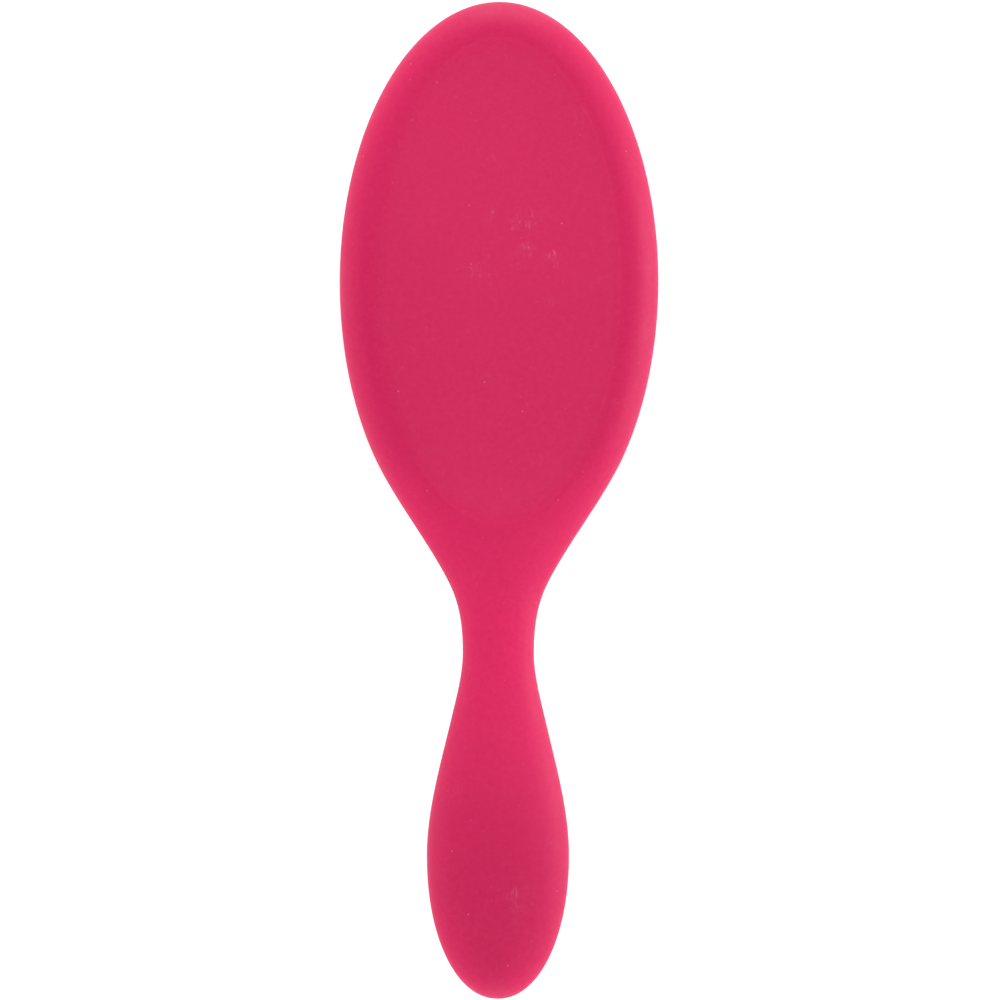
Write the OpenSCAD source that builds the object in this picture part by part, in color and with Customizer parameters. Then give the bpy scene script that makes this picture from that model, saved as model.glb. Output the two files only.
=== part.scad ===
// Detangling brush with an oval cushion of long ball-tipped pins.
// It lies with its pins down: Z is 0 at the pin tips, the smooth back faces up,
// the head points to +Y and X runs across the head.

/* [Outline] */
// Overall length from the head's tip to the end of the handle
brush_length = 222; // [205:1:235]
// Length of the whole ellipse that the head follows
head_length = 124.7; // [115:0.5:130]
// Width of the head
head_width = 71; // [64:0.5:78]
// Distance from the head's tip to the narrowest place of the neck
neck_at = 144.9; // [140:0.5:150]
// Width of the neck at its narrowest place
neck_width = 15.9; // [14:0.5:20]
// Distance from the head's tip to the widest place of the grip
grip_at = 190; // [182:0.5:196]
// Width of the grip
grip_width = 31.7; // [27:0.5:36]

/* [Thickness] */
// Depth of the back above the parting line, at the head
head_back_depth = 7.3; // [6.5:0.1:9]
// Depth of the front below the parting line, at the head
head_front_depth = 6; // [5.5:0.1:8]
// Depth of the back above the parting line, at the neck
neck_back_depth = 6; // [5:0.1:7.5]
// Depth of the front below the parting line, at the neck
neck_front_depth = 6; // [5:0.1:8]
// Depth of the back above the parting line, at the grip
grip_back_depth = 8.4; // [7:0.1:10]
// Depth of the front below the parting line, at the grip
grip_front_depth = 9.2; // [7:0.1:11]
// Depth of the back above the parting line, at the end of the handle
end_back_depth = 6.6; // [5:0.1:8]
// Depth of the front below the parting line, at the end of the handle
end_front_depth = 7.2; // [5:0.1:9]

/* [Shells] */
// Wall thickness of both shells
wall = 2.2; // [1.6:0.1:2.8]
// Width of the rounded rim round the head's back, seen from above
back_rim_width = 7.2; // [5.5:0.1:7.5]
// Width of the rounded rim round the head's front, seen from below
front_rim_width = 4.8; // [4:0.1:6]
// Distance from the head's edge to the edge of the flat back panel
panel_margin = 8.6; // [8:0.1:9.5]
// Height by which the back panel stands proud of the rim
panel_rise = 0.1; // [0.05:0.05:0.3]
// Height by which the back's rim lies lower at the head's two ends than at its sides
end_fall = 0.35; // [0:0.05:0.5]

/* [Posts] */
// Diameter of the posts that locate the two shells
post_diameter = 3.2; // [2.4:0.1:4]
// Wall of the sockets that take the posts
socket_wall = 1.4; // [1:0.1:1.8]
// Length of a post inside its socket
post_engagement = 2.6; // [1.5:0.1:3]
// Clearance round and below a post in its socket
post_clearance = 0.15; // [0.1:0.05:0.3]

/* [Cushion] */
// Length of the oval opening in the front shell
opening_length = 105.6; // [98:0.2:108]
// Width of the oval opening in the front shell
opening_width = 52; // [46:0.2:54]
// Height by which the middle of the cushion stands out of the frame
cushion_rise = 5; // [3.5:0.1:6.5]
// Height of the cushion's crown from its rounded edge to its middle
cushion_crown = 2; // [0.5:0.1:3]
// Thickness of the cushion's rubber
cushion_thickness = 1.5; // [1:0.1:2]
// Clearance between the cushion and the edge of the opening
cushion_clearance = 0.4; // [0.3:0.05:0.8]
// Width of the lip that holds the cushion behind the frame
lip_width = 2.6; // [2:0.1:3]
// Thickness of the lip
lip_thickness = 1.2; // [0.8:0.1:1.6]
// Clearance between the lip and the frame or the rib that traps it
lip_clearance = 0.3; // [0.2:0.05:0.5]
// Thickness of the rib inside the back shell that traps the lip
rib_thickness = 1.6; // [1.2:0.1:2]
// Diameter of the air vent in the cushion
vent_diameter = 1.8; // [1:0.1:2.2]

/* [Pins] */
// Length of the middle pins from the cushion to their tips
pin_length = 15.5; // [12:0.5:20]
// Number of rows of pins along the brush, an odd number
row_count = 27; // [17:2:29]
// Distance from the first and last rows to the ends of the cushion
end_margin = 4.3; // [3.5:0.1:8]
// Distance between pins in a row
pin_pitch = 3.2; // [3:0.1:5]
// Width of a pin at its root, from corner to corner
root_width = 1.3; // [0.9:0.1:1.6]
// Width of a pin above its ball, from corner to corner
shank_width = 0.9; // [0.7:0.1:1.2]
// Width of the ball at a pin's tip, from corner to corner
ball_width = 1.6; // [1.2:0.1:2]
// Length of the ball at a pin's tip
ball_length = 1.5; // [1:0.1:2]
// Thickness of the backing that carries the pins behind the cushion
backing_thickness = 0.8; // [0.6:0.1:1.2]
// Distance from the outermost pins to the cushion's side
field_margin = 2.6; // [2.4:0.1:4]
// Cut between neighbouring slices of the backing
slice_cut = 0.1; // [0.05:0.05:0.3]
// Rise of the pin tips from the middle of the field to its edge
tip_crown = 0.8; // [0:0.1:2]

/* [Hidden] */
// Shares that shape the outline between its named places, head first.
head_leave_share = 0.807;
shoulder_place_share = 0.644;
shoulder_width_share = 0.159;
shoulder_slope_share = 1.125;
flare_place_share = 0.323;
flare_width_share = 0.314;
flare_slope_share = 1.332;
end_power = 2.09;
// Shares of the depths and widths that the shells' sections follow.
rim_power = 2.2;
back_rim_power = 2;
crest_flat_share = 0.08;
post_place_shares = [0.58, 0.44];
backing_end_share = 0.995;
// Least share at which the handle's very end is reckoned, where its edge turns square.
end_least_share = 0.05;
// Counts of outline points in each stretch, of steps up a section, and of sides.
head_steps = 22;
shoulder_steps = 8;
flare_steps = 8;
end_steps = 10;
outer_steps = 6;
inner_steps = 4;
oval_sides = 72;
post_sides = 24;
vent_sides = 16;
// Overrun of every cut, and depth to which joined solids sink in.
overrun = 0.5;
embed = 0.5;

// Heights of the main planes above the pin tips.
crown_z = pin_length;
frame_z = crown_z + cushion_rise;
part_z = frame_z + head_front_depth;
back_z = part_z + head_back_depth;
seat_z = frame_z + wall;
lip_z = seat_z + lip_clearance;
lip_top_z = lip_z + lip_thickness;
backing_z = crown_z + cushion_thickness;

// Places along the brush, counted from the head's tip.
head_half_length = head_length / 2;
head_half_width = head_width / 2;
leave_at = head_length * head_leave_share;
shoulder_at = leave_at + (neck_at - leave_at) * shoulder_place_share;
flare_at = neck_at + (grip_at - neck_at) * flare_place_share;
opening_centre = head_half_length;
back_flat_end = head_length - panel_margin;
front_flat_end = opening_centre + opening_length / 2 + lip_width + wall;

// Colours seen on the brush.
body_colour = [0.82, 0.19, 0.38];
cushion_colour = [0.86, 0.24, 0.44];
pin_colour = [0.88, 0.30, 0.50];

// Outline of the body. All of it is counted from the head's tip.
function cubic(p0, m0, p1, m1, h, t) =
    (2 * pow(t, 3) - 3 * pow(t, 2) + 1) * p0 + (pow(t, 3) - 2 * pow(t, 2) + t) * h * m0
    + (3 * pow(t, 2) - 2 * pow(t, 3)) * p1 + (pow(t, 3) - pow(t, 2)) * h * m1;
function cubic_slope(p0, m0, p1, m1, h, t) =
    6 * (pow(t, 2) - t) * (p0 - p1) / h + (3 * pow(t, 2) - 4 * t + 1) * m0
    + (3 * pow(t, 2) - 2 * t) * m1;

leave_turn = acos(1 - leave_at / head_half_length);
leave_half = head_half_width * sin(leave_turn);
leave_slope = head_half_width * cos(leave_turn) / (head_half_length * sin(leave_turn));
neck_half = neck_width / 2;
grip_half = grip_width / 2;
shoulder_half = neck_half + (leave_half - neck_half) * shoulder_width_share;
shoulder_slope = shoulder_slope_share * (neck_half - leave_half) / (neck_at - leave_at);
flare_half = neck_half + (grip_half - neck_half) * flare_width_share;
flare_slope = flare_slope_share * (grip_half - neck_half) / (grip_at - neck_at);

// Each outline point holds its half width, its place, the inward direction
// and the distance along that direction to the middle line.
function head_point(turn) =
    let (nx = sin(turn) / head_half_width, ns = cos(turn) / head_half_length)
    let (n = norm([nx, ns]))
    [head_half_width * sin(turn), head_half_length * (1 - cos(turn)), -nx / n, ns / n,
        pow(head_half_width, 2) * n];
function side_point(x, s, slope) =
    let (n = norm([1, slope]))
    [x, s, -1 / n, slope / n, x * n];
function cubic_point(from, to, p0, m0, p1, m1, t) =
    side_point(cubic(p0, m0, p1, m1, to - from, t), from + (to - from) * t,
        cubic_slope(p0, m0, p1, m1, to - from, t));
function end_point(turn) =
    let (end_half = brush_length - grip_at, c = pow(cos(turn), 2 / end_power))
    let (q = pow(sin(turn), 2 / end_power), x = grip_half * c, c_in = max(c, end_least_share))
    let (nx = pow(c_in, end_power - 1) / grip_half, ns = pow(q, end_power - 1) / end_half)
    let (n = norm([c == 0 ? 0 : nx, ns]), m = norm([nx, ns]))
    [x, grip_at + end_half * q, c == 0 ? 0 : -nx / n, -ns / n, grip_half * c_in * m / nx];

right_side = concat(
    [for (i = [0:head_steps]) head_point(leave_turn * i / head_steps)],
    [for (i = [1:shoulder_steps])
        cubic_point(leave_at, shoulder_at, leave_half, leave_slope, shoulder_half,
            shoulder_slope, i / shoulder_steps)],
    [for (i = [1:shoulder_steps / 2])
        cubic_point(shoulder_at, neck_at, shoulder_half, shoulder_slope, neck_half, 0,
            2 * i / shoulder_steps)],
    [for (i = [1:flare_steps / 2])
        cubic_point(neck_at, flare_at, neck_half, 0, flare_half, flare_slope,
            2 * i / flare_steps)],
    [for (i = [1:flare_steps])
        cubic_point(flare_at, grip_at, flare_half, flare_slope, grip_half, 0,
            i / flare_steps)],
    [for (i = [1:end_steps]) end_point(90 * i / end_steps)]);
side_last = len(right_side) - 1;
loop_count = 2 * side_last;

// A half of the body holds its depths at the head, neck, grip and end, then
// where the head's flat part ends, its rim's width, fall at the ends and power.
back_half = [head_back_depth, neck_back_depth, grip_back_depth, end_back_depth,
    back_flat_end, back_rim_width, end_fall, back_rim_power];
front_half = [head_front_depth, neck_front_depth, grip_front_depth, end_front_depth,
    front_flat_end, front_rim_width, 0, rim_power];

// Width of the curved part of the section at an outline point: the rim on the
// head, and nearly all of the way to the middle line on the neck and grip.
function ease(t) = let (c = min(max(t, 0), 1)) c * c * (3 - 2 * c);
function neck_share(p) = ease((p[1] - leave_at) / (neck_at - leave_at));
function curve_width(p, half) =
    let (t = neck_share(p))
    (1 - t) * half[5] + t * p[4] * (1 - crest_flat_share);

// Depth of a half's crest along the brush, and its fall towards the head's ends.
function crest_depth(s, half) =
    s < neck_at
        ? half[0] + (half[1] - half[0]) * ease((s - half[4]) / (neck_at - half[4]))
        : s < grip_at
            ? half[1] + (half[2] - half[1]) * ease((s - neck_at) / (grip_at - neck_at))
            : half[2] + (half[3] - half[2]) * ease((s - grip_at) / (brush_length - grip_at));
function fall(p, in_share, half) =
    half[6] * (1 - neck_share(p)) * pow(p[3], 2) * (1 - in_share);

// Power of the section's curve: the rim's own on the head, the common one on the handle.
function section_power(p, half) = half[7] + (rim_power - half[7]) * neck_share(p);

// One level of a shell, at an angle from 0 at the outline to 90 at the crest: the outline
// moved in by start plus a share of the curve's width, and raised by a share of the
// crest's depth less a wall.
function y_of(s) = brush_length / 2 - s;
function level_point(p, side, up, half, start, turn) =
    let (power = section_power(p, half),
        in_share = 1 - pow(cos(turn), 2 / power),
        up_share = pow(sin(turn), 2 / power),
        d = start + (curve_width(p, half) - start) * in_share,
        s = p[1] + d * p[3])
    [side * (p[0] + d * p[2]), y_of(s),
        part_z + up * up_share * (crest_depth(s, half) - fall(p, in_share, half) - start)];
function level(up, half, start, turn) =
    [for (i = [0:loop_count - 1])
        let (right = i <= side_last)
        level_point(right_side[right ? i : loop_count - i], right ? 1 : -1, up, half,
            start, turn)];

// Faces of a closed stack of loops, capped by strips across the middle line.
function flipped(face) = [face[2], face[1], face[0]];
function band_faces(count, rings) =
    [for (r = [0:rings - 2]) for (i = [0:count - 1])
        let (j = (i + 1) % count, a = r * count, b = a + count)
        each [[a + i, a + j, b + j], [a + i, b + j, b + i]]];
function strip_faces(base) =
    [for (i = [0:side_last - 1])
        let (m = (loop_count - i) % loop_count, n = loop_count - i - 1)
        each i == 0 ? [[base, base + 1, base + n]]
            : i == side_last - 1 ? [[base + i, base + i + 1, base + m]]
            : [[base + i, base + i + 1, base + n], [base + i, base + n, base + m]]];
function shell_faces(rings) = concat(
    band_faces(loop_count, rings),
    strip_faces((rings - 1) * loop_count),
    [for (f = strip_faces(0)) flipped(f)]);

module shell_body(up, half) {
    loops = concat(
        [for (i = [inner_steps:-1:0]) level(up, half, wall, 90 * i / inner_steps)],
        [for (i = [0:outer_steps]) level(up, half, 0, 90 * i / outer_steps)]);
    faces = shell_faces(len(loops));
    polyhedron([for (l = loops) each l],
        up > 0 ? faces : [for (f = faces) flipped(f)], convexity = 6);
}

// Upright oval prism centred on the cushion.
module oval(half_width, half_length, from_z, to_z) {
    translate([0, y_of(opening_centre), from_z])
        linear_extrude(height = to_z - from_z)
            scale([half_width, half_length])
                circle(r = 1, $fn = oval_sides);
}

// The same as a prism of flat faces, so that its top is one true plane.
module flat_oval(half_width, half_length, from_z, to_z) {
    translate([0, y_of(opening_centre), from_z])
        linear_extrude(height = to_z - from_z)
            polygon([for (i = [0:oval_sides - 1])
                [half_width * cos(360 * i / oval_sides), half_length * sin(360 * i / oval_sides)]]);
}

// Places of the locating posts along the brush.
socket_radius = post_diameter / 2 + post_clearance + socket_wall;
post_places = [
    front_flat_end + socket_radius + lip_clearance,
    neck_at + (grip_at - neck_at) * post_place_shares[0],
    grip_at + (brush_length - grip_at) * post_place_shares[1]];

module back_shell() {
    rib_half_width = opening_width / 2 + lip_width - cushion_clearance;
    rib_half_length = opening_length / 2 + lip_width - cushion_clearance;
    panel_half_width = head_half_width - panel_margin;
    panel_half_length = head_half_length - panel_margin;
    color(body_colour) {
        shell_body(1, back_half);
        // Back panel, a low oval step.
        flat_oval(panel_half_width, panel_half_length, back_z - embed, back_z + panel_rise);
        // Rib that traps the lip of the cushion.
        difference() {
            oval(rib_half_width, rib_half_length, lip_top_z + lip_clearance, back_z - wall + embed);
            oval(rib_half_width - rib_thickness, rib_half_length - rib_thickness,
                lip_top_z + lip_clearance - overrun, back_z - wall + embed + overrun);
        }
        // Posts that locate the front shell.
        for (s = post_places)
            translate([0, y_of(s), part_z - post_engagement])
                cylinder(d = post_diameter,
                    h = post_engagement + crest_depth(s, back_half) - wall + embed, $fn = post_sides);
    }
}

module front_shell() {
    color(body_colour)
        difference() {
            union() {
                shell_body(-1, front_half);
                for (s = post_places) {
                    floor_depth = crest_depth(s, front_half) - wall + embed;
                    translate([0, y_of(s), part_z - floor_depth])
                        cylinder(r = socket_radius, h = floor_depth, $fn = post_sides);
                }
            }
            // Opening for the cushion.
            oval(opening_width / 2, opening_length / 2, frame_z - overrun, seat_z + overrun);
            // Bores for the posts.
            for (s = post_places)
                translate([0, y_of(s), part_z - post_engagement - post_clearance])
                    cylinder(d = post_diameter + 2 * post_clearance,
                        h = post_engagement + post_clearance + overrun, $fn = post_sides);
        }
}

// Half sizes of the cushion inside the opening, and heights on its dome.
pad_half_width = opening_width / 2 - cushion_clearance;
pad_half_length = opening_length / 2 - cushion_clearance;
function dome_share(x, y) = pow(x / pad_half_width, 2) + pow(y / pad_half_length, 2);
function dome_z(base, x, y) = base + cushion_crown * dome_share(x, y);
dome_steps_shares = [0.25, 0.5, 0.72, 0.88];
shoulder_in_shares = [0, 0.25, 1];
shoulder_up_shares = [1, 0.45, 0];

function pad_ring(in, z) =
    [for (i = [0:oval_sides - 1])
        [(pad_half_width - in) * sin(360 * i / oval_sides),
            y_of(opening_centre) + (pad_half_length - in) * cos(360 * i / oval_sides), z]];
function dome_ring(share, base) =
    [for (i = [0:oval_sides - 1])
        [pad_half_width * share * sin(360 * i / oval_sides),
            y_of(opening_centre) + pad_half_length * share * cos(360 * i / oval_sides),
            base + cushion_crown * share * share]];

module cushion() {
    lip_out = -lip_width + 2 * cushion_clearance;
    edge_z = crown_z + cushion_crown;
    inner_edge_z = backing_z + cushion_crown;
    shoulder_rise = (frame_z - edge_z) / 2;
    rings = concat(
        [for (share = dome_steps_shares) dome_ring(share, backing_z)],
        [pad_ring(cushion_thickness, inner_edge_z), pad_ring(cushion_thickness, lip_top_z)],
        [pad_ring(lip_out, lip_top_z), pad_ring(lip_out, lip_z), pad_ring(0, lip_z)],
        [for (i = [0:2])
            pad_ring(cushion_thickness * shoulder_in_shares[i],
                edge_z + shoulder_rise * shoulder_up_shares[i])],
        [for (i = [3:-1:0]) dome_ring(dome_steps_shares[i], crown_z)]);
    last = (len(rings) - 1) * oval_sides;
    top = len(rings) * oval_sides;
    middle = [[0, y_of(opening_centre), backing_z], [0, y_of(opening_centre), crown_z]];
    faces = concat(
        [for (i = [0:oval_sides - 1]) [i, top, (i + 1) % oval_sides]],
        band_faces(oval_sides, len(rings)),
        [for (i = [0:oval_sides - 1]) [last + (i + 1) % oval_sides, top + 1, last + i]]);
    color(cushion_colour)
        difference() {
            polyhedron(concat([for (r = rings) each r], middle),
                [for (f = faces) flipped(f)], convexity = 6);
            translate([0, y_of(opening_centre) + row_y(vent_row), crown_z - overrun])
                cylinder(d = vent_diameter, h = lip_top_z - crown_z, $fn = vent_sides);
        }
}

// Rows of pins. Rows are counted from the handle's end of the cushion.
field_half_width = pad_half_width - field_margin;
field_half_length = pad_half_length - field_margin;
half_rows = (row_count - 1) / 2;
row_pitch = (pad_half_length - end_margin) / half_rows;
vent_row = 2;
backing_half_width = pad_half_width - cushion_thickness - slice_cut;
backing_half_length = pad_half_length - cushion_thickness - slice_cut;

function row_y(i) = (i - half_rows - 1) * row_pitch;
function half_at(half_width, half_length, y) =
    half_width * sqrt(max(0, 1 - pow(y / half_length, 2)));
function row_places(i) =
    let (reach = half_at(field_half_width, field_half_length, row_y(i)))
    let (shift = (i + half_rows) % 2 == 0 ? 0.5 : 0)
    [for (k = [-ceil(reach / pin_pitch) - 1:ceil(reach / pin_pitch)])
        let (x = (k + shift) * pin_pitch)
        if (abs(x) <= reach && !(i == vent_row && abs(x) < vent_diameter)) x];
function row_name(i) = str("pin_row_", i < 10 ? "0" : "", i);

// One pin: a four-sided tapered shank that ends in a small ball.
function pin_ring(c, width) =
    [for (k = [0:3]) c + [width * cos(90 * k) / 2, width * sin(90 * k) / 2, 0]];
module pin(x, y) {
    root_z = dome_z(backing_z, x, y) + backing_thickness / 2;
    tip_z = tip_crown * dome_share(x, y);
    lean = 2 * cushion_crown * pin_length;
    root = [x, y, root_z];
    tip = [x * (1 + lean / pow(pad_half_width, 2)), y * (1 + lean / pow(pad_half_length, 2)), tip_z];
    along = (tip - root) / (root_z - tip_z);
    neck = tip - along * ball_length;
    belly = tip - along * ball_length / 2;
    points = concat(pin_ring(root, root_width), pin_ring(neck, shank_width),
        pin_ring(belly, ball_width), [tip]);
    faces = concat(
        [[2, 1, 0], [3, 2, 0]],
        band_faces(4, 3),
        [for (k = [0:3]) [8 + (k + 1) % 4, 12, 8 + k]]);
    translate([0, y_of(opening_centre), 0])
        polyhedron(points, faces);
}

// One slice of the backing, which follows the cushion's inner face.
module backing_slice(y) {
    ends = [max(y - (row_pitch - slice_cut) / 2, -backing_half_length * backing_end_share),
        min(y + (row_pitch - slice_cut) / 2, backing_half_length * backing_end_share)];
    section = [for (e = ends) for (h = [0, 1]) for (k = [-2:2])
        let (x = half_at(backing_half_width, backing_half_length, e) * k / 2)
        [x, e, dome_z(backing_z, x, e) + h * backing_thickness]];
    faces = concat(
        [for (k = [0:3]) each [[k, k + 5, k + 6], [k, k + 6, k + 1]]],
        [for (k = [10:13]) each [[k + 6, k + 5, k], [k + 1, k + 6, k]]],
        [for (k = [0:3]) each [[k, k + 1, k + 11], [k, k + 11, k + 10]]],
        [for (k = [5:8]) each [[k + 11, k + 1, k], [k + 10, k + 11, k]]],
        [[0, 10, 15], [0, 15, 5], [4, 9, 19], [4, 19, 14]]);
    translate([0, y_of(opening_centre), 0])
        polyhedron(section, faces);
}

module pin_row(i) {
    color(pin_colour)
        difference() {
            union() {
                backing_slice(row_y(i));
                for (x = row_places(i))
                    pin(x, row_y(i));
            }
            if (i == vent_row)
                translate([0, y_of(opening_centre) + row_y(i), crown_z])
                    cylinder(d = vent_diameter, h = lip_top_z - crown_z, $fn = vent_sides);
        }
}

echo(rows = row_count, strands = len([for (i = [1:row_count]) each row_places(i)]));

back_shell();
front_shell();
cushion();
for (i = [1:row_count])
    pin_row(i);
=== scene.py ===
import math
from collections import namedtuple

import bmesh
import bpy
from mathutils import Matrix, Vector


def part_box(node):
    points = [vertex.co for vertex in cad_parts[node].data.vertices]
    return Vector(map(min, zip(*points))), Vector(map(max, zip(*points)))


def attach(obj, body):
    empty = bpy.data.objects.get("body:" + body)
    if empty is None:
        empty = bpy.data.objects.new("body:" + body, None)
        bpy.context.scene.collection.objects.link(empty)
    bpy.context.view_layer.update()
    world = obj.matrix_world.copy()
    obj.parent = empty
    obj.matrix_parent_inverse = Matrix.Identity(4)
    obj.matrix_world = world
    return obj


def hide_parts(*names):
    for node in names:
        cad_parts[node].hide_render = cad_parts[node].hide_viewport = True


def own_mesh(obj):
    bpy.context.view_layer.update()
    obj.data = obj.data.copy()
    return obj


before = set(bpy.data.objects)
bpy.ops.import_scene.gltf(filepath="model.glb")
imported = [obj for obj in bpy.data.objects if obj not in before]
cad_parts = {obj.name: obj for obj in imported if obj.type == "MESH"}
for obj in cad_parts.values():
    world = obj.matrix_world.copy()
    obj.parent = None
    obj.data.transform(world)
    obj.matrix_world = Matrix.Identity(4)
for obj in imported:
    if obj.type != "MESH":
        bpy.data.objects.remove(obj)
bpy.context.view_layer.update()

MM = 0.001

# Places and heights that the frame gives, in metres like everything here.
BACK_LOW, BACK_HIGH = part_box("back_shell")
PART_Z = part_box("front_shell")[1].z
LIP_TOP_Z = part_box("cushion")[1].z
HEAD_TIP = BACK_HIGH.y
BRUSH_LENGTH = BACK_HIGH.y - BACK_LOW.y

# Outline of the body, with places counted from the head's tip. The shares set where the curve
# leaves the head's ellipse, and the place, width and slope of its two knots round the neck.
HEAD_LENGTH = 124.7 * MM
HEAD_WIDTH = 71 * MM
NECK_AT = 144.9 * MM
NECK_WIDTH = 15.9 * MM
GRIP_AT = 190 * MM
GRIP_WIDTH = 31.7 * MM
HEAD_LEAVE_SHARE = 0.807
SHOULDER_PLACE_SHARE = 0.644
SHOULDER_WIDTH_SHARE = 0.159
SHOULDER_SLOPE_SHARE = 1.125
FLARE_PLACE_SHARE = 0.323
FLARE_WIDTH_SHARE = 0.314
FLARE_SLOPE_SHARE = 1.332
END_POWER = 2.09

# Depths of the back and the front from the parting line: head, neck, grip, end. The rims' curves
# have a power of their own, and the back's rim falls a little at the head's two ends.
BACK_DEPTHS = (7.3 * MM, 6.0 * MM, 8.4 * MM, 6.6 * MM)
FRONT_DEPTHS = (6.0 * MM, 6.0 * MM, 9.2 * MM, 7.2 * MM)
WALL = 2.2 * MM
BACK_RIM_WIDTH = 7.2 * MM
FRONT_RIM_WIDTH = 4.8 * MM
RIM_POWER = 2.2
BACK_RIM_POWER = 2.0
END_FALL = 0.35 * MM
SEAM = 0.16 * MM

# The back's flat panel: how far in it starts, how proud it stands, the width of its ramp and how
# far below the rim's height that ramp starts, and how deep the panel's hidden underside lies.
PANEL_MARGIN = 8.6 * MM
PANEL_RISE = 0.1 * MM
PANEL_RAMP = 1.6 * MM
PANEL_FOOT = 0.03 * MM
PANEL_SUNK = 0.6 * MM
PANEL_UNDER_RINGS, PANEL_TOP_RINGS = (0.5, 1), (0.8, 0.5, 0.2)

# Opening and cushion.
OPENING_WIDTH = 52 * MM
OPENING_LENGTH = 105.6 * MM
OPENING_ROUND = 0.6 * MM
CUSHION_CLEARANCE = 0.4 * MM
LIP_WIDTH = 2.6 * MM
LIP_THICKNESS = 1.2 * MM
LIP_ROUND = 0.3 * MM
CUSHION_THICKNESS = 1.5 * MM
CUSHION_CROWN = 2 * MM
VENT_ROW = 2
VENT_DIAMETER = 1.8 * MM
VENT_CUT_LENGTH = 8 * MM

# Pins and the backing that carries them.
PIN_LENGTH = 15.5 * MM
ROWS = 27
END_MARGIN = 4.3 * MM
PIN_PITCH = 3.2 * MM
FIELD_MARGIN = 2.6 * MM
MOST_PINS_EACH_WAY = 20
ROOT_WIDTH = 1.3 * MM
SHANK_WIDTH = 0.9 * MM
PIN_NECK = 0.44 * SHANK_WIDTH
BALL_DIAMETER = 1.45 * MM
TIP_CROWN = 0.8 * MM
BACKING_THICKNESS = 0.8 * MM
BACKING_CLEARANCE = 0.1 * MM
BACKING_REACH = 0.995
SLICE_GAP = 0.1 * MM
# A pin's radius at shares of its length over the ball's middle, and then at heights over it.
PIN_BY_SHARE = ((1, 0.45 * ROOT_WIDTH), (0.8, 0.42 * ROOT_WIDTH), (0.45, 0.46 * MM))
PIN_BY_HEIGHT = ((2.2 * MM, 0.46 * SHANK_WIDTH), (1.2 * MM, PIN_NECK))
# Radius and rise of the rubber collar round a pin's root, from its foot inwards.
COLLAR = ((1.05 * MM, 0.05 * MM), (0.9 * MM, -0.16 * MM), (0.68 * MM, -0.24 * MM), (0.3 * MM, -0.2 * MM))

# How finely the curves are divided.
HEAD_STEPS, SHOULDER_STEPS, NECK_STEPS, FLARE_STEPS, GRIP_STEPS, END_STEPS = 130, 60, 30, 24, 40, 60
RIM_STEPS, FACE_STEPS = 26, 10
INNER_RIM_STEPS, INNER_FACE_STEPS = 12, 4
FACE_SPACING_POWER = 1.5
ROUND_STEPS = 3
PANEL_SIDES, PANEL_RAMP_STEPS = 240, 8
CUSHION_SIDES, ROLL_STEPS = 200, 8
INNER_DOME_RINGS, INNER_DOME_REACH = 12, 0.93
OUTER_DOME_RINGS, OUTER_DOME_REACH = 14, 0.925
VENT_SIDES, COLLAR_SIDES, PIN_SIDES, BALL_STEPS, BACKING_STEPS = 32, 14, 12, 8, 16
SHELL_MERGE, OVAL_MERGE = 0.002 * MM, 0.001 * MM
SHELL_SHARP, RUBBER_SHARP = math.radians(32), math.radians(50)
# The handle's end comes to its middle line at a right angle: limits that keep its sums finite.
LEAST_COSINE, NO_WIDTH = 0.05, 1e-6

# Worked out from the sizes above.
HALF_WIDTH, HALF_LENGTH = HEAD_WIDTH / 2, HEAD_LENGTH / 2
HEAD_Y = HEAD_TIP - HALF_LENGTH
LEAVE_AT = HEAD_LENGTH * HEAD_LEAVE_SHARE
PANEL_Z = PART_Z + BACK_DEPTHS[0] + PANEL_RISE
FRAME_Z = PART_Z - FRONT_DEPTHS[0]
PAD_WIDTH = OPENING_WIDTH / 2 - CUSHION_CLEARANCE
PAD_LENGTH = OPENING_LENGTH / 2 - CUSHION_CLEARANCE
CROWN_Z = PIN_LENGTH
BACKING_Z = CROWN_Z + CUSHION_THICKNESS
ROW_PITCH = (PAD_LENGTH - END_MARGIN) / ((ROWS - 1) / 2)

# The two halves of the body: which way each faces, its depths, where its flat part ends,
# its rim's width, its fall at the ends of the head and the power of its rim's curve.
Half = namedtuple("Half", "up depths flat_end rim_width fall power")
BACK = Half(1, BACK_DEPTHS, HEAD_LENGTH - PANEL_MARGIN, BACK_RIM_WIDTH, END_FALL, BACK_RIM_POWER)
FRONT_FLAT_END = HALF_LENGTH + OPENING_LENGTH / 2 + LIP_WIDTH + WALL
FRONT = Half(-1, FRONT_DEPTHS, FRONT_FLAT_END, FRONT_RIM_WIDTH, 0, RIM_POWER)

# Colours, as linear light.
BODY_DEEP = (0.553, 0.0090, 0.080)
BODY_BRIGHT = (0.589, 0.0108, 0.087)
BODY_GRAIN = (0.66, 0.036, 0.14)
LINT = (0.80, 0.24, 0.38)
# White mixed into the body's colour as painted sheen, in place of shine.
PAINTED_SHEEN_WHITE = (1.0, 1.0, 1.0)
# Darker pink painted along the parting line as shade in its groove.
SEAM_PAINTED_SHADE = (0.30, 0.008, 0.045)
SHEEN_TINT = (1.0, 0.55, 0.68)
RUBBER_DEEP = (0.55, 0.016, 0.085)
RUBBER_BRIGHT = (0.62, 0.022, 0.10)
PIN_ROOT = (0.58, 0.022, 0.10)
PIN_TIP = (0.70, 0.045, 0.16)
FLOOR_COLOUR = (0.93, 0.93, 0.93)
WHITE = (1, 1, 1)

# Noise: features for each metre, levels of detail, and how rough each next level is.
BODY_BROAD = (22, 3, 0.5)
BODY_CLOUDS = (90, 4, 0.6)
BODY_FINE = (800, 6, 0.75)
MARKS = (1100, 3, 0.6)
MARK_PATCHES = (190, 4, 0.6)
RUBBER_BROAD = (40, 3, 0.5)
RUBBER_FINE = (3800, 3, 0.5)
NYLON_MOTTLE = (900, 2, 0.5)
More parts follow.
